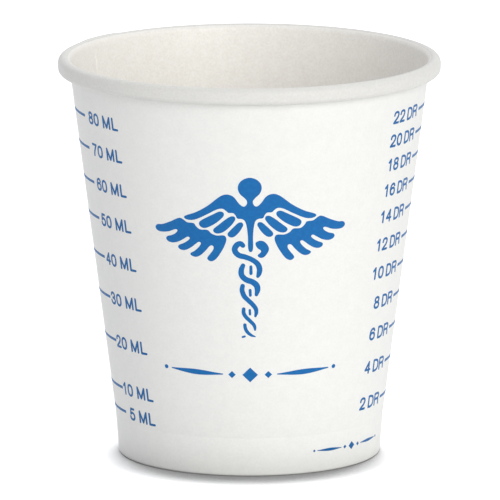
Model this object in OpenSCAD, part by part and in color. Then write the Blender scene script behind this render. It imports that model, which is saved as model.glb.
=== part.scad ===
// Paper medicine cup, about 90 ml: a wrapped sidewall with a rolled rim, a
// lapped side seam and a folded hem, and a flanged bottom held in that fold.
// Millimetres, +Z up, origin on the axis at the plane that the foot rests on.

/* [Cup] */
// Height from the rest plane to the top of the rim
cup_h = 60.1; // [50:0.1:75]
// Outside diameter of the rolled rim
rim_d = 57.3; // [52:0.1:66]
// Outside diameter of the foot at the rest plane
foot_d = 39.3; // [34:0.1:46]

/* [Paperboard] */
// Thickness of the board of the sidewall and the bottom
board_t = 0.3; // [0.22:0.01:0.38]
// Glue line between plies that lie face to face
glue_gap = 0.02; // [0.01:0.01:0.05]

/* [Rim curl] */
// Width of the rolled rim, from the inside of the cup outward
curl_w = 1.95; // [1.8:0.05:2.3]
// Height of the rolled rim
curl_h = 2.5; // [2.4:0.05:3.2]
// Air between the wall and the ply that is tucked up beside it
curl_gap = 0.05; // [0.03:0.01:0.1]
// Inside radius of the innermost turn
tuck_in = 0.12; // [0.08:0.01:0.16]
// Straight rise of the tucked ply beside the wall
tuck_rise = 0.45; // [0.3:0.05:0.6]
// Straight tail at the end of the roll
tuck_tail = 0.25; // [0.1:0.05:0.35]

/* [Foot] */
// Height of the floor's upper face above the rest plane
floor_z = 4.8; // [3.6:0.1:8]
// How far the pressed band of the foot reaches above the floor
band_over = 1.1; // [0.2:0.1:2]
// How much the band widens from the rest plane to its top, on each side
foot_lean = 0.45; // [0:0.05:0.7]
// Inside radius of the two bends of the foot fold
fold_in = 0.05; // [0.03:0.01:0.08]
// Inside radius of the knuckle between the floor and its skirt
knuckle_in = 0.45; // [0.2:0.05:0.8]
// Skirt's lower edge above the inside of the foot fold
skirt_gap = 0.2; // [0.05:0.05:0.5]
// Hem's upper edge below the start of the knuckle
hem_gap = 0.3; // [0.1:0.05:1]

/* [Side seam] */
// Polar angle of the inner ply's edge, which shows inside the cup
seam_at = 150.5; // [20:0.5:350]
// Width of the lap, measured along the rim
lap_w = 6.5; // [4:0.5:10]
// Width of the slope where the outer ply climbs onto the inner one
ramp_w = 1.2; // [0.6:0.1:2]
// Width of the fine groove along the inner ply's edge
groove_w = 0.25; // [0.15:0.05:0.5]
// Depth of that groove
groove_t = 0.1; // [0.05:0.01:0.15]

/* [Hidden] */
board_white = [0.95, 0.95, 0.94];
floor_white = [0.93, 0.92, 0.9];
turn_fn = 144;
ramp_steps = 4;
// How much shorter, at each end, the lap is than the wall that it lies on,
// and each step of its slope than the next
lap_lift = 0.15;
step_lift = 0.1;
// Same for the groove, and how far its cutter stands out of the wall
groove_lift = 0.4;
cutter_t = 0.2;

// Bend of one facet of an arc, wider on the tight arcs
tight_r = 0.4;
function facet_bend(r) = r < tight_r ? 30 : 15;

// A pose is [radius, height, heading]: a point on a ply's centreline, and the
// direction in which the ply runs there, in degrees up from straight outward.
// A move is [length, 0] for a straight, or [radius, bend] for an arc, which
// turns left where the bend is positive and right where it is negative.
function after_line(p, l) = [p.x + l * cos(p.z), p.y + l * sin(p.z), p.z];
function after_arc(p, r, bend) =
    let (s = sign(bend), h = p.z + bend)
    [p.x + s * r * (sin(h) - sin(p.z)), p.y - s * r * (cos(h) - cos(p.z)), h];
function after_move(p, m) = m[1] == 0 ? after_line(p, m[0]) : after_arc(p, m[0], m[1]);
function poses_of(p, m) =
    let (n = m[1] == 0 ? 1 : ceil(abs(m[1]) / facet_bend(m[0])))
    [for (i = [0:n - 1]) i == 0 ? p : after_arc(p, m[0], m[1] * i / n)];
function walk(p, moves, i = 0) =
    i == len(moves)
    ? [p]
    : concat(poses_of(p, moves[i]), walk(after_move(p, moves[i]), moves, i + 1));

// Point beside a pose, to its left where the distance is positive
function beside(p, d) = [p.x - d * sin(p.z), p.y + d * cos(p.z)];
// Closed section of a layer between two distances from a path of poses
function layer(path, d1, d2) = concat(
    [for (p = path) beside(p, d2)],
    [for (i = [len(path) - 1:-1:0]) beside(path[i], d1)]);

// Fold of the foot: the hem comes down, turns on a narrow flat and rises as
// the band, two plies and the skirt between them apart.
foot_h = floor_z + band_over;
lean = atan(foot_lean / foot_h);
ply_pitch = board_t + glue_gap;
fold_r = fold_in + board_t / 2;
fold_flat = 2 * (ply_pitch - fold_r) / cos(lean);
flat_end = [foot_d / 2 - board_t / 2 - fold_r, board_t / 2, 0];
band_foot = after_arc(flat_end, fold_r, 90 - lean);
hem_foot = [
    flat_end.x - fold_flat - fold_r * cos(lean),
    flat_end.y + fold_r * (1 + sin(lean)),
    -90 - lean];

// Floor and skirt: the skirt lies on the inside of the band.
knuckle_r = knuckle_in + board_t / 2;
floor_mid_z = floor_z - board_t / 2;
knuckle_z = floor_mid_z - knuckle_r;
skirt_line = beside(band_foot, ply_pitch);
knuckle_x = skirt_line.x - (knuckle_r + (skirt_line.y - knuckle_z) * sin(lean)) / cos(lean);
knuckle_end_z = knuckle_z - knuckle_r * sin(lean);
skirt_l = (knuckle_end_z - board_t - skirt_gap) / cos(lean);
hem_l = (knuckle_end_z - hem_gap - hem_foot.y) / cos(lean);

// Rim: the wall runs tangent into the top of the roll.
roll_r = (curl_w - board_t) / 2;
roll_x = rim_d / 2 - board_t / 2 - roll_r;
roll_z = cup_h - board_t / 2 - roll_r;
under_r = roll_r - (board_t + curl_gap) / 2;
roll_drop = roll_z - (cup_h - curl_h + board_t / 2 + under_r);
tuck_r = tuck_in + board_t / 2;
crease = after_line(band_foot, (foot_h - band_foot.y) / cos(lean));
roll_far = norm([roll_x - crease.x, roll_z - crease.y]);
wall_heading = atan2(roll_z - crease.y, roll_x - crease.x) + asin(roll_r / roll_far);
wall_foot = [crease.x, crease.y, (90 - lean + wall_heading) / 2];
wall_top = [
    roll_x - roll_r * sin(wall_heading),
    roll_z + roll_r * cos(wall_heading),
    wall_heading];
lap_top = after_line(wall_top, -(wall_top.y - (cup_h - curl_h)) / sin(wall_heading));

hem_top = after_line(hem_foot, -hem_l);
foot_path = walk(hem_top, [[hem_l, 0], [fold_r, 90 + lean], [fold_flat, 0], [fold_r, 90 - lean]]);
rim_path = walk(wall_top, [
    [roll_r, -wall_heading],
    [roll_r, -90],
    [roll_drop, 0],
    [under_r, -180],
    [tuck_rise, 0],
    [tuck_r, -180],
    [tuck_tail, 0]]);
bottom_path = walk([0, floor_mid_z, 0], [[knuckle_x, 0], [knuckle_r, -90 - lean], [skirt_l, 0]]);

// Angle about the axis that a width along the rim takes up
function rim_angle(w) = w * 360 / (PI * rim_d);

// Board that follows a path all the way round
module turned_board(path) {
    rotate_extrude($fn = turn_fn) polygon(layer(path, -board_t / 2, board_t / 2));
}

// Layer on a path over a part of the turn, from one polar angle to another
module turned_strip(path, d1, d2, a1, a2) {
    rotate([0, 0, a1])
        rotate_extrude(angle = a2 - a1, start = 0, $fn = turn_fn)
            polygon(layer(path, d1, d2));
}

// One layer on the outside of the band and the wall. It starts inside the
// wall, fused with it.
module outer_layer(t, lift, a1, a2) {
    path = [after_line(band_foot, lift), wall_foot, after_line(lap_top, -lift)];
    turned_strip(path, -board_t / 2 - t, 0, a1, a2);
}

// Outer ply of the side seam: it climbs in fine steps onto the inner ply and
// ends in a square cut edge.
module lap() {
    outer_layer(board_t, lap_lift, seam_at - rim_angle(lap_w), seam_at);
    for (i = [1:ramp_steps - 1])
        outer_layer(board_t * (1 - i / ramp_steps), lap_lift + step_lift * i,
            seam_at - rim_angle(lap_w) / (i + 1), seam_at + rim_angle(ramp_w) * i / ramp_steps);
}

// Groove that the inner ply's cut edge leaves inside the cup
module seam_groove() {
    path = [
        after_line([crease.x, crease.y, wall_heading], groove_lift),
        after_line(wall_top, -groove_lift)];
    turned_strip(path, board_t / 2 - groove_t, board_t / 2 + cutter_t,
        seam_at, seam_at + rim_angle(groove_w));
}

// Wrapped blank: hem, foot fold, pressed band, tapered wall and rolled rim
module sidewall() {
    color(board_white) difference() {
        union() {
            turned_board(concat(foot_path, [wall_foot], rim_path));
            lap();
        }
        seam_groove();
    }
}

// Round blank: flat floor, knuckle and the skirt held in the foot fold
module bottom() {
    color(floor_white) turned_board(bottom_path);
}

sidewall();
bottom();
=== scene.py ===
from math import asin, atan, atan2, ceil, cos, degrees, hypot, pi, radians, sin, tan

import bmesh
import bpy
from mathutils import Matrix, Vector
from mathutils.geometry import delaunay_2d_cdt, interpolate_bezier


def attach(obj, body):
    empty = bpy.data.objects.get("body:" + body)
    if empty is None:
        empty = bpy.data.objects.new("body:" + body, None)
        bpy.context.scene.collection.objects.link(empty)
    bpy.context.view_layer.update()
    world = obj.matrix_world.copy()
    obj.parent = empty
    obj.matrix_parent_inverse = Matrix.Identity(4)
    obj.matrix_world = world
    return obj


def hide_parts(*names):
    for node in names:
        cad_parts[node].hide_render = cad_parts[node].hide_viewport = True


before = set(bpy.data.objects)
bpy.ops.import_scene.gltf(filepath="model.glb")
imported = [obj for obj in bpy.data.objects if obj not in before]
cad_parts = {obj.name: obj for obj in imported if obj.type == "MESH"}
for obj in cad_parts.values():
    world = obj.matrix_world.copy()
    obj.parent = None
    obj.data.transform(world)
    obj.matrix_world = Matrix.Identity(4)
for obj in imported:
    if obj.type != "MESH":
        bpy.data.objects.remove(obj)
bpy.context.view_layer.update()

# A paper medicine cup with a printed scale, dressed for a studio picture.
# Lengths are in millimetres, and become metres where a mesh is made.
metre = 0.001
scene = bpy.context.scene
print("frame loaded:", sorted(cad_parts))


def hexColour(code):
    channels = [int(code[i:i + 2], 16) / 255 for i in (1, 3, 5)]
    linear = [c / 12.92 if c <= 0.04045 else ((c + 0.055) / 1.055) ** 2.4 for c in channels]
    return (*linear, 1.0)


# Camera: a long lens from just above the rim
cameraSetup = {
    "target": (0.0, 0.0, 30.453),
    "distance": 1622.7,
    "pitch": 11.2,  # degrees below level
    "lens": 779.0,
    "sensor": 36.0,
    "shiftX": 0.00117,
}


def makeCamera(setup):
    data = bpy.data.cameras.new("studioCamera")
    data.lens = setup["lens"]
    data.sensor_width = setup["sensor"]
    data.shift_x = setup["shiftX"]
    data.clip_start, data.clip_end = 0.1, 20
    camera = bpy.data.objects.new("studioCamera", data)
    scene.collection.objects.link(camera)
    pitch = radians(setup["pitch"])
    back = Vector((0, -cos(pitch), sin(pitch))) * setup["distance"]
    camera.location = (Vector(setup["target"]) + back) * metre
    camera.rotation_euler = (radians(90) - pitch, 0, 0)
    scene.camera = camera


makeCamera(cameraSetup)
scene.view_settings.view_transform = "Standard"
print("camera placed")

# Board and section of the cup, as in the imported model
cup = {
    "height": 60.1,
    "rimDiameter": 57.3,
    "footDiameter": 39.3,
    "board": 0.3,
    "glueGap": 0.02,
    "curlWidth": 1.95,
    "curlHeight": 2.5,
    "curlGap": 0.05,
    "tuckRadius": 0.12,
    "tuckRise": 0.45,
    "tuckTail": 0.25,
    "floorHeight": 4.8,
    "bandOver": 1.1,
    "footLean": 0.45,
    "foldRadius": 0.05,
    "knuckleRadius": 0.45,
    "skirtGap": 0.2,
    "hemGap": 0.3,
}
board = cup["board"]


# A pose is (radius, height, heading in radians). A move is (length, 0) for a
# straight or (radius, bend in radians) for an arc, left where positive.
def moved(pose, move, share=1.0):
    r, z, heading = pose
    length, bend = move
    if bend == 0:
        return r + share * length * cos(heading), z + share * length * sin(heading), heading
    side, end = (1 if bend > 0 else -1), heading + share * bend
    return (r + side * length * (sin(end) - sin(heading)),
            z - side * length * (cos(end) - cos(heading)), end)


def walk(pose, moves, arcStep=radians(9), lineStep=3.0):
    poses = [pose]
    for move in moves:
        steps = ceil(abs(move[1]) / arcStep - 0.01) if move[1] else ceil(move[0] / lineStep)
        poses += [moved(pose, move, i / steps) for i in range(1, steps + 1)]
        pose = poses[-1]
    return poses


def beside(pose, distance):
    return pose[0] - distance * sin(pose[2]), pose[1] + distance * cos(pose[2])


quarter, half = pi / 2, pi
bandHeight = cup["floorHeight"] + cup["bandOver"]
lean = atan(cup["footLean"] / bandHeight)
plyPitch = board + cup["glueGap"]
foldR = cup["foldRadius"] + board / 2
foldFlat = 2 * (plyPitch - foldR) / cos(lean)
flatEnd = (cup["footDiameter"] / 2 - board / 2 - foldR, board / 2, 0)
bandFoot = moved(flatEnd, (foldR, quarter - lean))
hemFoot = (flatEnd[0] - foldFlat - foldR * cos(lean), flatEnd[1] + foldR * (1 + sin(lean)),
           -quarter - lean)
knuckleR = cup["knuckleRadius"] + board / 2
floorMid = cup["floorHeight"] - board / 2
knuckleZ = floorMid - knuckleR
skirtLine = beside(bandFoot, plyPitch)
knuckleX = skirtLine[0] - (knuckleR + (skirtLine[1] - knuckleZ) * sin(lean)) / cos(lean)
knuckleEnd = knuckleZ - knuckleR * sin(lean)
skirtLength = (knuckleEnd - board - cup["skirtGap"]) / cos(lean)
hemLength = (knuckleEnd - cup["hemGap"] - hemFoot[1]) / cos(lean)
rollR = (cup["curlWidth"] - board) / 2
rollX = cup["rimDiameter"] / 2 - board / 2 - rollR
rollZ = cup["height"] - board / 2 - rollR
underR = rollR - (board + cup["curlGap"]) / 2
rollDrop = rollZ - (cup["height"] - cup["curlHeight"] + board / 2 + underR)
tuckR = cup["tuckRadius"] + board / 2
bandLength = (bandHeight - bandFoot[1]) / cos(lean)
crease = moved(bandFoot, (bandLength, 0))
wallHeading = (atan2(rollZ - crease[1], rollX - crease[0])
               + asin(rollR / hypot(rollX - crease[0], rollZ - crease[1])))
wallTop = (rollX - rollR * sin(wallHeading), rollZ + rollR * cos(wallHeading), wallHeading)
wallLength = hypot(wallTop[0] - crease[0], wallTop[1] - crease[1])


def aroundAngle(width):
    return degrees(width / (cup["rimDiameter"] / 2))


# The side seam: the outer ply climbs onto the inner one and ends in a cut edge
seam = {
    "innerEdge": 150.5,  # polar degrees, from +X towards the back
    "lapWidth": 6.5,
    "rampWidth": 1.2,
    "stepDepth": 0.12,  # inside, at the inner ply's edge
    "stepWidth": 0.22,
    "stepFade": 2.5,
    "rimSwell": 0.13,  # how much the roll bulges where it holds two plies
    "swellOutside": 4,  # degrees beside the lap where the bulge starts to rise
    "swellInside": 1,  # degrees within the lap where it is full
}
lapStart = seam["innerEdge"] - aroundAngle(seam["lapWidth"])
rampEnd = seam["innerEdge"] + aroundAngle(seam["rampWidth"])
stepEnd = seam["innerEdge"] + aroundAngle(seam["stepWidth"])
fadeEnd = seam["innerEdge"] + aroundAngle(seam["stepFade"])
cutEdge = 0.05  # degrees over which a cut edge drops
# Degrees between sections at the groove and on the ramp, and the least distance
# from them to a section at a whole degree
grooveTurn, rampTurn, clearTurn = 0.15, 0.4, 0.3


def smoothStep(low, high, x):
    t = min(max((x - low) / (high - low), 0), 1)
    return t * t * (3 - 2 * t)


def lapShare(angle):
    return (1 - smoothStep(seam["innerEdge"], rampEnd, angle)) * (angle > lapStart + cutEdge / 2)


def stepShare(angle):
    return smoothStep(seam["innerEdge"], stepEnd, angle) * (1 - smoothStep(stepEnd, fadeEnd, angle))


def swellShare(angle):
    outside, inside = seam["swellOutside"], seam["swellInside"]
    return (smoothStep(lapStart - outside, lapStart + inside, angle)
            * (1 - smoothStep(seam["innerEdge"] - inside, rampEnd + outside, angle)))


def turnAngles():
    start = seam["innerEdge"]
    fine = [start + i * grooveTurn for i in range(5)] + [start + i * rampTurn for i in range(2, 14)]
    edges = [lapStart, lapStart + cutEdge]
    coarse = [a for a in range(360) if min(abs(a - e) for e in edges + fine) > clearTurn]
    return sorted(set(coarse + fine + edges))


def newObject(name, mesh):
    obj = bpy.data.objects.new(name, mesh)
    scene.collection.objects.link(obj)
    return obj


def smoothShade(mesh, angle=35):
    mesh.polygons.foreach_set("use_smooth", [True] * len(mesh.polygons))
    mesh.set_sharp_from_angle(angle=radians(angle))


# Turns a section about the axis. The section may change with the angle, and
# edgeFinish gives each of its edges a material index, or None for no face.
def turnedSolid(name, sectionAt, angles, edgeFinish):
    sections = [sectionAt(a) for a in angles]
    count, turns = len(sections[0]), len(angles)
    verts = [(r * cos(radians(a)) * metre, r * sin(radians(a)) * metre, z * metre)
             for a, section in zip(angles, sections) for r, z in section]
    faces, finish = [], []
    for j in range(turns):
        here, there = j * count, (j + 1) % turns * count
        for i, index in enumerate(edgeFinish):
            k = (i + 1) % count
            if index is not None:
                faces.append((here + i, there + i, there + k, here + k))
                finish.append(index)
    mesh = bpy.data.meshes.new(name)
    mesh.from_pydata(verts, [], faces)
    mesh.polygons.foreach_set("material_index", finish)
    bm = bmesh.new()
    bm.from_mesh(mesh)
    bmesh.ops.remove_doubles(bm, verts=bm.verts, dist=1e-8)
    bmesh.ops.recalc_face_normals(bm, faces=bm.faces)
    bm.to_mesh(mesh)
    bm.free()
    smoothShade(mesh)
    return newObject(name, mesh)


# Sidewall: hem, foot fold, pressed band, tapered wall and rolled rim in one board
soft = 0.15  # distance from the crease over which the shading turns
crimpDepth = 0.02  # the pressed line along the crease, outside
layerEdge = 0.05  # length over which the lap or the groove starts and ends
lapLift = 0.15  # how far the lap stays from the foot's bend and from the roll
nearly = 0.01  # a tolerance, shorter than any stretch of the path
# Headings in degrees where the roll's bulge begins, is full, starts to fade and ends
swellHeadings = (60, 0, -100, -230)
lapTopZ = cup["height"] - cup["curlHeight"] - lapLift
lapToTop = (wallTop[1] - lapTopZ) / sin(wallHeading)
hemTop = moved(hemFoot, (-hemLength, 0))
footPath = walk(hemTop, [
    (hemLength, 0), (foldR, quarter + lean), (foldFlat, 0), (foldR, quarter - lean),
    (lapLift, 0), (layerEdge, 0), (bandLength - lapLift - layerEdge - soft, 0), (soft, 0)])
creasePose = (crease[0], crease[1], (quarter - lean + wallHeading) / 2)
wallPath = walk((crease[0], crease[1], wallHeading), [
    (soft, 0), (layerEdge, 0), (wallLength - soft - 2 * layerEdge - lapToTop, 0), (layerEdge, 0),
    (lapToTop - soft, 0), (layerEdge, 0), (soft - layerEdge, 0)])
rimPath = walk(wallPath[-1], [
    (rollR, -wallHeading), (rollR, -quarter), (rollDrop, 0), (underR, -half),
    (cup["tuckRise"], 0), (tuckR, -half), (cup["tuckTail"], 0)])
wallPoses = footPath[:-1] + [creasePose] + wallPath[1:] + rimPath[1:]


def inWall(pose, low, high):
    return pose[2] > radians(75) and low < pose[1] < high


def inBulge(pose):
    begin, full, fade, end = (radians(heading) for heading in swellHeadings)
    return ((1 - smoothStep(full, begin, pose[2])) * smoothStep(end, fade, pose[2])
            * (pose[1] > cup["height"] / 2))


lapZone = [inWall(p, bandFoot[1] + lapLift + nearly, lapTopZ + nearly) for p in wallPoses]
stepZone = [abs(p[2] - wallHeading) < 1e-6
            and inWall(p, crease[1] + soft + nearly, wallTop[1] - soft) for p in wallPoses]
swellZone = [inBulge(p) for p in wallPoses]


def sidewallSection(angle):
    lap, step, swell = lapShare(angle), stepShare(angle), swellShare(angle)
    inner, outer = [], []
    for pose, inLap, inStep, inSwell in zip(wallPoses, lapZone, stepZone, swellZone):
        rise = swell * inSwell * seam["rimSwell"] - step * inStep * seam["stepDepth"]
        inner.append(beside(pose, board / 2 + rise))
        dip = crimpDepth if pose is creasePose else 0
        outer.append(beside(pose, dip - board / 2 - board * lap * inLap))
    return inner + outer[::-1]


# Places of the materials on both pieces. The last is a greyer copy of the lined side, painted shade on
# the roll.
linedSide, printedSide, cutSide, rollPaintedShadeSide = 0, 1, 2, 3
runs = len(wallPoses) - 1
# Painted shade: from here to the tuck, the roll takes the greyer copy of the lined board
paintedShadeStart = len(wallPoses) - len(rimPath) + 6  # just short of the top of the roll
sidewall = turnedSolid("cup_sidewall", sidewallSection, turnAngles(),
                       [linedSide] * paintedShadeStart + [rollPaintedShadeSide] * (runs - paintedShadeStart) + [cutSide]
                       + [printedSide] * runs + [cutSide])
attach(sidewall, "root")
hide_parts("sidewall")
print("sidewall:", len(sidewall.data.polygons), "faces")

# Bottom: flat floor, knuckle and skirt
flatEdge = 0.3  # the last stretch of the floor, which keeps the rest evenly shaded
bottomPoses = walk((0, floorMid, 0), [
    (knuckleX - flatEdge, 0), (flatEdge, 0), (knuckleR, -quarter - lean), (skirtLength, 0)])
bottomSection = ([beside(p, board / 2) for p in bottomPoses]
                 + [beside(p, -board / 2) for p in bottomPoses][::-1])
runs = len(bottomPoses) - 1
bottom = turnedSolid("cup_bottom", lambda angle: bottomSection, range(0, 360, 2),
                     [linedSide] * runs + [cutSide] + [printedSide] * runs + [None])
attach(bottom, "root")
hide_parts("bottom")
print("bottom:", len(bottom.data.polygons), "faces")

# Ink: thin solids, drawn flat as on the blank and wrapped round the cone
ink = {
    "proud": 0.025,  # how far it stands out of the board, so that it shows
    "sunk": 0.03,  # how far it goes into the board, so that no gap is left
    "cellWide": 0.8,  # size of the cells that follow the round of the cup
    "cellHigh": 3.0,
    "lineTurn": 1.5,  # the same for a line of the scale, in degrees
    "curvePace": 0.2,  # distance between points on a curve
    "roundSides": 12,  # of the round end of a stroke
}
wallFoot = beside((crease[0], crease[1], wallHeading), -board / 2)
bandLow = beside(bandFoot, -board / 2)
wallSlope = 1 / tan(wallHeading)
bandSlope = tan(lean)


def surfaceAt(z):
    (r0, z0), slope = (wallFoot, wallSlope) if z > wallFoot[1] else (bandLow, bandSlope)
    return r0 + (z - z0) * slope, slope


def wrapOnCup(bm, azimuth, z):
    radius, slope = surfaceAt(z)
    sinT, cosT = slope / hypot(1, slope), 1 / hypot(1, slope)
    reach = radius / sinT  # from the cone's tip
    for vert in bm.verts:
        x, y, side = vert.co
        lift = ink["proud"] if side > 0 else -ink["sunk"]
        a = radians(azimuth) + atan2(x, y + reach) / sinT
        slant = hypot(x, y + reach)
        r = slant * sinT + lift * cosT
        h = z + (slant - reach) * cosT - lift * sinT
        vert.co = Vector((r * sin(a), -r * cos(a), h)) * metre


# One closed solid from flat shapes that may overlap. Lines across it let it
# follow the round of the cup.
def flatSolid(polygons):
    points, faces, edges = [], [], []
    for polygon in polygons:
        area = sum(p[0] * q[1] - q[0] * p[1] for p, q in zip(polygon, polygon[1:] + polygon[:1]))
        if abs(area) < 1e-6:
            continue
        faces.append(list(range(len(points), len(points) + len(polygon))))
        points += [Vector((p[0], p[1])) for p in (polygon if area > 0 else reversed(polygon))]
    low = [min(p[k] for p in points) - 1 for k in (0, 1)]
    high = [max(p[k] for p in points) + 1 for k in (0, 1)]
    for axis, cell in ((0, ink["cellWide"]), (1, ink["cellHigh"])):
        for k in range(ceil(low[axis] / cell), ceil(high[axis] / cell)):
            edges.append((len(points), len(points) + 1))
            for end in (low, high):
                p = list(end)
                p[axis] = k * cell
                points.append(Vector(p))
    insideOnly, tolerance = 1, 1e-5
    knots, _, triangles, _, _, owners = delaunay_2d_cdt(points, edges, faces, insideOnly, tolerance)
    bm = bmesh.new()
    tops, undersides = ([bm.verts.new((p.x, p.y, side)) for p in knots] for side in (1, -1))
    border = {}  # edges of one triangle only, as the keys
    for triangle, owner in zip(triangles, owners):
        if owner:
            bm.faces.new([tops[i] for i in triangle])
            bm.faces.new([undersides[i] for i in reversed(triangle)])
            for i, j in zip(triangle, triangle[1:] + triangle[:1]):
                if (j, i) in border:
                    del border[(j, i)]
                else:
                    border[(i, j)] = True
    for i, j in border:
        bm.faces.new((undersides[i], undersides[j], tops[j], tops[i]))
    bmesh.ops.delete(bm, geom=[v for v in bm.verts if not v.link_faces], context="VERTS")
    return bm


def smoothLine(points, closed=False):
    knots = [Vector((*p, 0)) if len(p) == 2 else Vector(p) for p in points]
    count, line = len(knots), []
    for i in range(count if closed else count - 1):
        near = [(i + k) % count if closed else min(max(i + k, 0), count - 1) for k in (-1, 0, 1, 2)]
        before, start, end, after = (knots[k] for k in near)
        chord = (end - start).length
        leave = start + (end - before).normalized() * chord / 3
        arrive = end - (after - start).normalized() * chord / 3
        steps = max(2, ceil(chord / ink["curvePace"]))
        line += interpolate_bezier(start, leave, arrive, end, steps + 1)[:-1]
    return line if closed else line + [knots[-1]]


roundTurn = [2 * pi * k / ink["roundSides"] for k in range(ink["roundSides"])]


# A brush stroke along a line of (x, y, half width), round at both ends
def strokePieces(line):
    sides, pieces = [], []
    for i, p in enumerate(line):
        ahead = line[min(i + 1, len(line) - 1)] - line[max(i - 1, 0)]
        across = Vector((-ahead.y, ahead.x)).normalized() * p.z
        sides.append((p.xy + across, p.xy - across))
    for (left, right), (nextLeft, nextRight) in zip(sides, sides[1:]):
        pieces += [[right, nextRight, nextLeft], [right, nextLeft, left]]
    for p in (line[0], line[-1]):
        pieces.append([(p.x + p.z * cos(t), p.y + p.z * sin(t)) for t in roundTurn])
    return pieces


def mergeInto(bm, part):
    mesh = bpy.data.meshes.new("part")
    part.to_mesh(mesh)
    part.free()
    bm.from_mesh(mesh)
    bpy.data.meshes.remove(mesh)


def inkPiece(name, bm):
    bmesh.ops.recalc_face_normals(bm, faces=bm.faces)
    mesh = bpy.data.meshes.new(name)
    bm.to_mesh(mesh)
    bm.free()
    smoothShade(mesh, 40)
    piece = newObject(name, mesh)
    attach(piece, "root")
    print("ink:", name, len(mesh.polygons), "faces")
    return piece


# Characters of the scale, each drawn with strokes in a box that is one wide and
# one high. A stroke is a smooth line, or straight from point to point.
roundTop = [(0.5, 1), (0.85, 0.92), (0.92, 0.76), (0.78, 0.59), (0.5, 0.53), (0.22, 0.59),
            (0.08, 0.76), (0.15, 0.92), (0.5, 1)]
roundFoot = [(0.5, 0.53), (0.87, 0.45), (1, 0.26), (0.85, 0.06), (0.5, 0), (0.15, 0.06), (0, 0.26),
             (0.13, 0.45), (0.5, 0.53)]
characters = {
    "0": [("smooth", [(0.5, 1), (0.87, 0.87), (1, 0.5), (0.87, 0.13), (0.5, 0), (0.13, 0.13), (0, 0.5),
                      (0.13, 0.87), (0.5, 1)])],
    "1": [("straight", [(0.3, 0.75), (0.68, 1), (0.68, 0)])],
    "2": [("smooth", [(0.02, 0.7), (0.1, 0.9), (0.48, 1), (0.87, 0.9), (0.93, 0.68), (0.68, 0.41),
                      (0.25, 0.17), (0, 0)]), ("straight", [(0, 0), (1, 0)])],
    "3": [("smooth", [(0.02, 0.78), (0.17, 0.95), (0.5, 1), (0.84, 0.9), (0.87, 0.7), (0.68, 0.56),
                      (0.4, 0.53)]),
          ("smooth", [(0.4, 0.53), (0.8, 0.49), (1, 0.27), (0.85, 0.06), (0.5, 0), (0.14, 0.06),
                      (0, 0.25)])],
    "4": [("straight", [(0.74, 0), (0.74, 1), (0, 0.29), (1, 0.29)])],
    "5": [("straight", [(0.9, 1), (0.2, 1), (0.08, 0.48)]),
          ("smooth", [(0.08, 0.48), (0.3, 0.61), (0.6, 0.63), (0.93, 0.5), (1, 0.3), (0.86, 0.08),
                      (0.48, 0), (0.12, 0.07), (0, 0.24)])],
    "6": [("smooth", [(0.94, 0.8), (0.8, 0.96), (0.52, 1), (0.15, 0.86), (0, 0.45), (0.1, 0.12),
                      (0.5, 0), (0.9, 0.1), (1, 0.31), (0.88, 0.53), (0.54, 0.62), (0.16, 0.52),
                      (0.03, 0.32)])],
    "7": [("straight", [(0, 1), (1, 1)]), ("smooth", [(1, 1), (0.66, 0.62), (0.43, 0.28), (0.36, 0)])],
    "8": [("smooth", roundTop), ("smooth", roundFoot)],
    "M": [("straight", [(0, 0), (0, 1), (0.5, 0.04), (1, 1), (1, 0)])],
    "L": [("straight", [(0.16, 1), (0.16, 0), (1, 0)])],
    "D": [("straight", [(0, 0), (0, 1), (0.42, 1)]),
          ("smooth", [(0.42, 1), (0.84, 0.87), (1, 0.5), (0.84, 0.13), (0.42, 0)]),
          ("straight", [(0.42, 0), (0, 0)])],
    "R": [("straight", [(0, 0), (0, 1), (0.6, 1)]),
          ("smooth", [(0.6, 1), (0.9, 0.94), (1, 0.76), (0.9, 0.57), (0.6, 0.5)]),
          ("straight", [(0.6, 0.5), (0, 0.5)]),
          ("smooth", [(0.6, 0.5), (0.86, 0.42), (0.93, 0.2), (0.97, 0)])],
}
lettering = {
    "height": 2.0,
    "stroke": 0.35,
    "gap": 0.22,
    "widths": {"M": 1.9, "L": 1.56, "D": 1.74, "R": 1.82},  # digits are all as wide as each other
    "digitWidth": 1.52,
}


def textPieces(words, space):
    pieces, x, pen = [], 0, lettering["stroke"] / 2
    high = lettering["height"] - 2 * pen
    for character in words:
        if character == " ":
            x += space - lettering["gap"]
            continue
        wide = lettering["widths"].get(character, lettering["digitWidth"])
        for kind, points in characters[character]:
            line = [(x + pen + px * (wide - 2 * pen), (py - 0.5) * high, pen) for px, py in points]
            if kind == "smooth":
                pieces += strokePieces(smoothLine(line))
            else:
                for ends in zip(line, line[1:]):
                    pieces += strokePieces([Vector(p) for p in ends])
        x += wide + lettering["gap"]
    return pieces, x - lettering["gap"]


# Scale: a short line at each mark, with its number and unit beside it.
# Azimuths are in degrees from the front, to the right where positive.
markWidth = 0.42
millilitreScale = {
    "unit": "ML",
    "space": 1.1,  # before the unit
    "heights": {80: 52.7, 70: 47.8, 60: 42.55, 50: 37.1, 40: 31.2, 30: 25.1, 20: 18.45, 10: 11.2,
                5: 7.45},
    "lineStart": (-69.3, -65.5),  # at the top and the bottom mark
    "lineEnd": -86.0,
    "textStart": -65.9,
}
dramScale = {
    "unit": "DR",
    "space": 0.78,
    "heights": {22: 53.36, 20: 49.8, 18: 46.1, 16: 42.2, 14: 38.2, 12: 33.9, 10: 29.55, 8: 24.9,
                6: 20.05, 4: 14.9, 2: 9.35},
    "lineStart": (73.7, 72.1),
    "lineEnd": 85.0,
    "textEnd": (71.7, 70.3),
}


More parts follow.
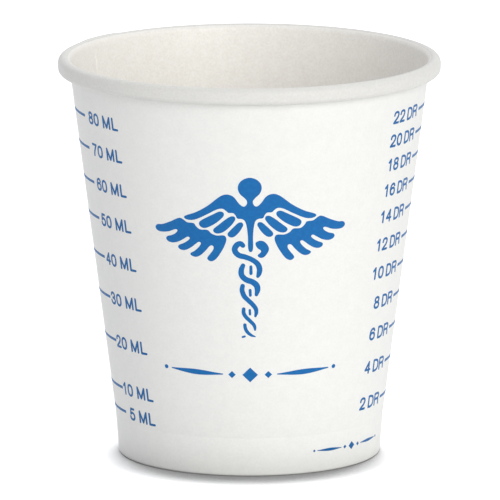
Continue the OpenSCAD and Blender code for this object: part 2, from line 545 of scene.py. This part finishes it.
def addLine(bm, start, end, z, width):
    radius, slope = surfaceAt(z)
    sinT, cosT = slope / hypot(1, slope), 1 / hypot(1, slope)
    steps = ceil(abs(end - start) / ink["lineTurn"])
    rings = []
    for i in range(steps + 1):
        a = radians(start + (end - start) * i / steps)
        ring = []
        for along, lift in ((1, 1), (-1, 1), (-1, 0), (1, 0)):
            up = along * width / 2
            out = ink["proud"] if lift else -ink["sunk"]
            r, h = radius + up * sinT + out * cosT, z + up * cosT - out * sinT
            ring.append(bm.verts.new(Vector((r * sin(a), -r * cos(a), h)) * metre))
        rings.append(ring)
    for here, there in zip(rings, rings[1:]):
        for k in range(4):
            bm.faces.new((here[k], here[(k + 1) % 4], there[(k + 1) % 4], there[k]))
    bm.faces.new(rings[0][::-1])
    bm.faces.new(rings[-1])


def between(pair, z, heights):
    low, high = min(heights.values()), max(heights.values())
    return pair[1] + (pair[0] - pair[1]) * (z - low) / (high - low)


def makeScale(name, setup):
    bm = bmesh.new()
    heights = setup["heights"]
    for number, z in heights.items():
        addLine(bm, between(setup["lineStart"], z, heights), setup["lineEnd"], z, markWidth)
        pieces, width = textPieces(f"{number} {setup['unit']}", setup["space"])
        halfTurn = degrees(width / 2 / surfaceAt(z)[0])
        if "textEnd" in setup:
            middle = between(setup["textEnd"], z, heights) - halfTurn
        else:  # the units stand below each other, also where the number has one digit
            spare = lettering["digitWidth"] * (number < 10)
            middle = setup["textStart"] + halfTurn + degrees(spare / surfaceAt(z)[0])
        text = flatSolid([[(p[0] - width / 2, p[1]) for p in piece] for piece in pieces])
        wrapOnCup(text, middle, z)
        mergeInto(bm, text)
    return inkPiece(name, bm)


millilitres = makeScale("millilitre_scale", millilitreScale)
drams = makeScale("dram_scale", dramScale)

# Emblem: a winged staff with two snakes, the old sign of healing. The right
# half of what is even is given, and the left is its mirror image.
emblemPlace = {"azimuth": 0.0, "z": 34.0, "shift": 0.2, "turn": 0.8}
staffHalf = [
    (0, 12.42), (0.95, 12.15), (1.6, 11.5), (1.76, 10.7), (1.45, 9.9), (0.8, 9.28), (0.44, 8.78),
    (0.53, 8.22), (0.96, 7.94), (1.58, 8.38), (2.47, 9.48), (3.43, 9.8), (4.4, 9.48), (6.34, 7.91),
    (8.15, 6.79), (9.83, 6.07), (10.05, 5.79), (9.72, 5.53), (8.88, 5.48), (7.95, 5.77),
    (6.33, 6.63), (4.91, 7.42), (4.11, 7.57), (3.58, 7.27), (3.22, 6.96), (2.52, 6.93),
    (2.17, 6.61), (1.9, 6.11), (1.2, 6.01), (0.76, 5.65), (0.52, 4.74), (0.38, 3.27), (0.33, 1.25),
    (0, 0.85)]
wingTip = [
    (3.88, 3.39), (5.03, 3.36), (5.84, 3.65), (6.39, 4.13), (7.57, 4.15), (8.22, 4.63), (8.5, 5.01),
    (9.53, 5.06), (10.1, 5.38), (10.78, 5.61), (12.34, 4.83), (13.77, 4.19), (14.61, 4.02),
    (14.92, 3.54), (14.56, 3.1), (13.76, 3.02), (12.54, 3.27), (11.54, 3.73), (11.15, 3.66),
    (11.44, 3.17), (12.13, 2.73), (12.84, 2.47), (13.08, 2.09), (12.73, 1.69), (11.93, 1.6),
    (10.94, 1.92), (9.98, 2.53), (9.46, 2.83), (9.17, 2.65), (9.6, 2.13), (10.36, 1.64),
    (10.94, 1.36), (11.09, 1.04), (10.74, 0.69), (9.97, 0.68), (9.02, 1.19), (8.1, 1.96),
    (7.73, 2.19), (7.45, 2.04), (7.72, 1.46), (8.46, 0.71), (9.02, 0.36), (9.13, 0.12),
    (8.73, -0.15), (8.17, -0.19), (7.44, 0.2), (6.62, 1.03), (6.0, 1.74), (5.58, 1.69),
    (5.54, 1.23), (5.98, 0.54), (6.43, -0.06), (6.5, -0.34), (6.24, -0.63), (5.79, -0.69),
    (5.17, -0.3), (4.47, 0.68), (3.86, 1.83), (3.57, 2.86)]
feathers = [
    [(4.22, 7.1), (4.66, 7.08), (5.47, 6.66), (6.7, 5.98), (7.5, 5.46), (7.7, 5.06), (7.45, 4.58),
     (6.84, 4.42), (6.1, 4.68), (5.02, 5.36), (4.2, 6.1), (3.9, 6.52), (3.94, 6.92)],
    [(2.6, 6.44), (2.98, 6.36), (3.72, 5.86), (4.76, 4.98), (5.42, 4.42), (5.54, 4.08), (5.24, 3.74),
     (4.68, 3.7), (3.94, 4.0), (2.96, 4.86), (2.38, 5.6), (2.2, 5.98), (2.28, 6.32)],
    [(1.36, 5.5), (1.72, 5.44), (2.2, 5.02), (3.06, 4.14), (3.38, 3.68), (3.26, 3.3), (2.82, 3.14),
     (2.34, 3.3), (1.64, 4.0), (1.2, 4.7), (1.04, 5.08), (1.12, 5.38)]]
rightHead = [(0.8, 2.34), (1.5, 2.6), (2.2, 2.29), (2.71, 1.35), (2.35, 0.44), (1.64, -0.08),
             (1.03, 0.27), (1.47, 0.76), (1.53, 1.07), (1.05, 1.41), (0.76, 1.94)]
# Middle line of each visible length of snake and staff, with its half width
strands = [
    [(-1.14, 1.9, 0.36), (-1.5, 2.2, 0.4), (-2.09, 1.9, 0.43),
     (-2.36, 1.16, 0.43), (-1.85, 0.43, 0.42), (-0.8, 0.1, 0.4), (0.15, -0.31, 0.38),
     (0.97, -0.97, 0.4), (1.28, -1.8, 0.42), (1.16, -2.6, 0.36), (1.0, -2.95, 0.24)],
    [(-1.16, -1.22, 0.33), (-1.42, -1.9, 0.4), (-1.37, -2.75, 0.42), (-0.75, -3.42, 0.43),
     (0.15, -3.78, 0.44), (0.8, -4.35, 0.45), (0.93, -5.05, 0.42), (0.75, -5.8, 0.26)],
    [(-1.26, -4.4, 0.33), (-1.36, -5.1, 0.36), (-1.02, -6.05, 0.37), (-0.45, -6.68, 0.35),
     (0.2, -7.35, 0.34), (0.65, -8.05, 0.32), (0.7, -8.65, 0.28), (0.56, -9.15, 0.18)],
    [(-1.16, -8.02, 0.27), (-1.17, -8.65, 0.29), (-0.85, -9.25, 0.29), (-0.25, -9.88, 0.28),
     (0.3, -10.5, 0.26), (0.47, -10.95, 0.22), (0.48, -11.3, 0.15)],
    [(-1.02, -10.5, 0.25), (-0.93, -11.1, 0.26), (-0.6, -11.7, 0.25), (-0.05, -12.15, 0.2),
     (0.5, -12.37, 0.07)],
    [(0.0, -1.42, 0.22), (0.0, -2.48, 0.24)],
    [(-0.17, -5.1, 0.22), (-0.14, -5.9, 0.2)],
    [(-0.26, -8.2, 0.18), (-0.24, -8.85, 0.18)],
    [(-1.38, -12.4, 0.15), (-1.05, -12.3, 0.15)]]


def makeEmblem(name, place):
    mirrored = [(-x, y) for x, y in staffHalf[-2:0:-1]]
    shapes = [smoothLine(staffHalf + mirrored, True), smoothLine(rightHead, True)]
    for shape in [wingTip] + feathers:
        shapes.append(smoothLine(shape, True))
        shapes.append([(-p.x, p.y) for p in shapes[-1]])
    for points in strands:
        shapes += strokePieces(smoothLine(points))
    turn = Matrix.Rotation(radians(place["turn"]), 2)
    shapes = [[turn @ Vector((p[0], p[1])) + Vector((place["shift"], 0)) for p in shape]
              for shape in shapes]
    bm = flatSolid(shapes)
    wrapOnCup(bm, place["azimuth"], place["z"])
    return inkPiece(name, bm)


emblem = makeEmblem("emblem", emblemPlace)

# A plain printer's rule: a lozenge with swelled dashes and dots on both sides
ruleShapes = {
    "lozenges": [(0, 1.15), (2.7, 0.55)],  # distance from the middle, half width
    "dash": (4.1, 12.2, 0.4, 0.08),  # its two ends, half its thickness midway and at the ends
    "dot": (13.2, 0.32),
}
centreRule = {"azimuth": 0.3, "z": 15.8, "size": 1.0}
footRule = {"azimuth": 50.0, "z": 3.3, "size": 0.55}


def makeRule(name, place):
    shapes = []
    for side in (-1, 1):
        for distance, wide in ruleShapes["lozenges"]:
            if distance or side > 0:
                shapes.append([(side * distance + x * wide, y * wide)
                               for x, y in ((-1, 0), (0, -1), (1, 0), (0, 1))])
        start, end, thick, thin = ruleShapes["dash"]
        dash = [(start, 0, thin), ((start + end) / 2, 0, thick), (end, 0, thin)]
        shapes += strokePieces(smoothLine([(side * x, y, w) for x, y, w in dash]))
        dotAt, dotSize = ruleShapes["dot"]
        shapes.append([(side * dotAt + dotSize * cos(t), dotSize * sin(t)) for t in roundTurn])
    size = place["size"]
    bm = flatSolid([[(p[0] * size, p[1] * size) for p in shape] for shape in shapes])
    wrapOnCup(bm, place["azimuth"], place["z"])
    return inkPiece(name, bm)


centreOrnament = makeRule("centre_rule", centreRule)
footOrnament = makeRule("foot_rule", footRule)


# Adds a node with its settings and inputs. An input is named as Blender names it,
# or i and its number, and may be another node's socket.
def addNode(tree, kind, settings=None, **inputs):
    node = tree.nodes.new(kind)
    for key, value in (settings or {}).items():
        setattr(node, key, value)
    for key, value in inputs.items():
        numbered = key[0] == "i" and key[1:].isdigit()
        socket = node.inputs[int(key[1:]) if numbered else key.replace("_", " ")]
        if isinstance(value, bpy.types.NodeSocket):
            tree.links.new(value, socket)
        else:
            socket.default_value = value
    return node


def newMaterial(name):
    material = bpy.data.materials.new(name)
    material.use_nodes = True
    material.node_tree.nodes.clear()
    return material, material.node_tree


# Board finishes. A sheet of bleached board shows soft clouds where its fibres
# lie thicker, and a fine tooth under its coating.
boardFinish = {
    "clay_coated_board": {  # printed outside: bright, smooth, hardly shiny
        "light": "#F9F9F5", "dark": "#F3F3F0", "grain": 0.6, "roughness": 0.62, "tooth": 0.35},
    "poly_lined_board": {  # inside: a warm white under a thin satin film
        "light": "#FCFAF5", "dark": "#F2EFE9", "grain": 0.75, "roughness": 0.42, "tooth": 0.6},
    # Painted shade: the roll gets a greyer copy of the lined board in place of the darker light on it
    "lined_board_painted_shade": {  # the roll: the same film, painted greyer as shade, and matt
        "light": "#E9E8E4", "dark": "#E1E0DB", "grain": 0.75, "roughness": 0.55, "tooth": 0.4},
    "cut_board_edge": {  # bare fibres where the blank is cut
        "light": "#EFEAE0", "dark": "#DED6C8", "grain": 0.5, "roughness": 0.85, "tooth": 0.9},
}
# Real fibres are 0.03 mm wide. They are drawn coarser so that they show.
cloudSize, toothSize, toothDepth = 1.8, 0.35, 0.01


def boardMaterial(name):
    finish = boardFinish[name]
    material, tree = newMaterial(name)
    place = addNode(tree, "ShaderNodeTexCoord").outputs["Object"]
    clouds = addNode(tree, "ShaderNodeTexNoise", Vector=place, Scale=1 / (cloudSize * metre), Detail=4.0,
                     Roughness=0.6)
    tooth = addNode(tree, "ShaderNodeTexNoise", Vector=place, Scale=1 / (toothSize * metre), Detail=3.0,
                    Roughness=0.55)
    both = addNode(tree, "ShaderNodeMix", {"data_type": "FLOAT"}, i0=finish["grain"],
                   i2=clouds.outputs[0], i3=tooth.outputs[0])
    spread = addNode(tree, "ShaderNodeMapRange", Value=both.outputs[0], From_Min=0.35, From_Max=0.65)
    colour = addNode(tree, "ShaderNodeMix", {"data_type": "RGBA"}, i0=spread.outputs[0],
                     i6=hexColour(finish["dark"]), i7=hexColour(finish["light"]))
    bump = addNode(tree, "ShaderNodeBump", Height=tooth.outputs[0], Strength=finish["tooth"],
                   Distance=toothDepth * metre)
    shader = addNode(tree, "ShaderNodeBsdfPrincipled", Base_Color=colour.outputs[2], IOR=1.5,
                     Roughness=finish["roughness"], Normal=bump.outputs[0])
    addNode(tree, "ShaderNodeOutputMaterial", Surface=shader.outputs[0])
    return material


# A flexographic print is mottled at about this size, and hardly raised
mottleSize, mottleDepth = 0.5, 0.01


def inkMaterial(name, light, dark):
    material, tree = newMaterial(name)
    place = addNode(tree, "ShaderNodeTexCoord").outputs["Object"]
    mottle = addNode(tree, "ShaderNodeTexNoise", Vector=place, Scale=1 / (mottleSize * metre), Detail=3.0,
                     Roughness=0.6)
    spread = addNode(tree, "ShaderNodeMapRange", Value=mottle.outputs[0], From_Min=0.3, From_Max=0.7)
    colour = addNode(tree, "ShaderNodeMix", {"data_type": "RGBA"}, i0=spread.outputs[0],
                     i6=hexColour(dark), i7=hexColour(light))
    bump = addNode(tree, "ShaderNodeBump", Height=mottle.outputs[0], Strength=0.2,
                   Distance=mottleDepth * metre)
    shader = addNode(tree, "ShaderNodeBsdfPrincipled", Base_Color=colour.outputs[2], IOR=1.35,
                     Roughness=0.5, Normal=bump.outputs[0])
    addNode(tree, "ShaderNodeOutputMaterial", Surface=shader.outputs[0])
    return material


boards = {name: boardMaterial(name) for name in boardFinish}
for piece in (sidewall, bottom):  # in the order of the side indices, the last being the roll's painted shade
    for name in ("poly_lined_board", "clay_coated_board", "cut_board_edge", "lined_board_painted_shade"):
        piece.data.materials.append(boards[name])
# Water-based blue ink laid from a rubber plate: matt, and a little uneven in the
# solid parts. Thin marks, which squeeze the ink to their edges, come out darker.
solidInk = inkMaterial("flexo_ink_solid", "#0E70B4", "#0C66AC")
fineInk = inkMaterial("flexo_ink_fine", "#0064A4", "#005E9C")
for piece in (emblem, centreOrnament):
    piece.data.materials.append(solidInk)
for piece in (millilitres, drams, footOrnament):
    piece.data.materials.append(fineInk)
print("materials:", len(bpy.data.materials))

# Floor, which keeps the shadow and shows white to the camera. Its colour also carries a painted shadow
# around the foot.
studio = {
    "floorSize": 6000.0,
    "floorOpening": 38.4,  # under the foot, so that a view from below sees into the recess
    "floorColour": "#EFEFEF",
    "floorLift": 0.9,  # how much more of the light the camera sees
    "shadeReach": 9.5,  # how far from the foot the painted shadow reaches, under the wall's overhang
    "shadeFrom": (0, 0.87, 0.5),  # the side of the sky that the shaded floor looks to
    "shadeFull": 0.45,  # how open the sky is where the shade is full
    "shadeEnd": 0.8,  # and where it ends
    "shadeFloor": 0.2,  # share of the light that is left in full shade
    "floorTurns": 96,
    "lampDistance": 500.0,  # of no effect on the light, which is parallel
    "fill": 0.59,
    "fillColour": "#F9FAFF",
}


def onlyForCamera(tree):
    path = addNode(tree, "ShaderNodeLightPath")
    first = addNode(tree, "ShaderNodeMath", {"operation": "MAXIMUM"}, i0=path.outputs["Is Camera Ray"],
                    i1=path.outputs["Is Glossy Ray"])
    return addNode(tree, "ShaderNodeMath", {"operation": "MAXIMUM"}, i0=first.outputs[0],
                   i1=path.outputs["Is Transmission Ray"]).outputs[0]


def makeFloor():
    turns = studio["floorTurns"]
    verts = [(d / 2 * metre * cos(2 * pi * k / turns), d / 2 * metre * sin(2 * pi * k / turns), 0)
             for d in (studio["floorOpening"], studio["floorSize"]) for k in range(turns)]
    faces = [(k, turns + k, turns + (k + 1) % turns, (k + 1) % turns) for k in range(turns)]
    mesh = bpy.data.meshes.new("floor")
    mesh.from_pydata(verts, [], faces)
    floor = newObject("floor", mesh)
    material, tree = newMaterial("white_studio_floor")
    direction = addNode(tree, "ShaderNodeCombineXYZ", X=studio["shadeFrom"][0],
                        Y=studio["shadeFrom"][1], Z=studio["shadeFrom"][2])
    # Painted shadow: the floor's colour is darkened where ambient occlusion finds the cup close, leaning
    # to the front
    openness = addNode(tree, "ShaderNodeAmbientOcclusion", {"samples": 16},
                       Distance=studio["shadeReach"] * metre, Normal=direction.outputs[0])
    shade = addNode(tree, "ShaderNodeMapRange", Value=openness.outputs["AO"],
                    From_Min=studio["shadeFull"], From_Max=studio["shadeEnd"],
                    To_Min=studio["shadeFloor"]).outputs[0]
    white = addNode(tree, "ShaderNodeVectorMath", {"operation": "SCALE"},
                    i0=hexColour(studio["floorColour"])[:3], Scale=shade)
    paint = addNode(tree, "ShaderNodeBsdfDiffuse", Color=white.outputs[0])
    lift = addNode(tree, "ShaderNodeMath", {"operation": "MULTIPLY"}, i0=onlyForCamera(tree),
                   i1=studio["floorLift"])
    seen = addNode(tree, "ShaderNodeMath", {"operation": "MULTIPLY"}, i0=lift.outputs[0], i1=shade)
    more = addNode(tree, "ShaderNodeBsdfDiffuse", Color=seen.outputs[0])
    both = addNode(tree, "ShaderNodeAddShader", i0=paint.outputs[0], i1=more.outputs[0])
    under = addNode(tree, "ShaderNodeNewGeometry").outputs["Backfacing"]
    clear = addNode(tree, "ShaderNodeBsdfTransparent")
    oneSided = addNode(tree, "ShaderNodeMixShader", i0=under, i1=both.outputs[0], i2=clear.outputs[0])
    addNode(tree, "ShaderNodeOutputMaterial", Surface=oneSided.outputs[0])
    mesh.materials.append(material)


def makeWorld():
    world = bpy.data.worlds.new("studio")
    world.use_nodes = True
    tree = world.node_tree
    tree.nodes.clear()
    seen = onlyForCamera(tree)
    colour = addNode(tree, "ShaderNodeMix", {"data_type": "RGBA"}, i0=seen,
                     i6=[c * studio["fill"] for c in hexColour(studio["fillColour"])[:3]] + [1],
                     i7=(1, 1, 1, 1))
    background = addNode(tree, "ShaderNodeBackground", Color=colour.outputs[2])
    addNode(tree, "ShaderNodeOutputWorld", Surface=background.outputs[0])
    scene.world = world


# A large soft source stands for the studio's softbox: its angle is its width as
# the cup sees it
softboxes = {
    "key": {"azimuth": 28, "elevation": 17, "strength": 1.38, "angle": 42, "colour": "#FFFEF8"},
    "back": {"azimuth": 180, "elevation": 45, "strength": 0.55, "angle": 50, "colour": "#FFFFFF"},
}


def makeSoftbox(name, setup):
    data = bpy.data.lights.new(name, "SUN")
    data.energy = setup["strength"]
    data.angle = radians(setup["angle"])
    data.color = hexColour(setup["colour"])[:3]
    light = newObject(name, data)
    a, e = radians(setup["azimuth"]), radians(setup["elevation"])
    outward = Vector((sin(a) * cos(e), -cos(a) * cos(e), sin(e)))
    light.location = outward * studio["lampDistance"] * metre
    light.rotation_euler = outward.to_track_quat("Z", "Y").to_euler()


makeFloor()
makeWorld()
for name, setup in softboxes.items():
    makeSoftbox(name, setup)
print("floor and lights placed")
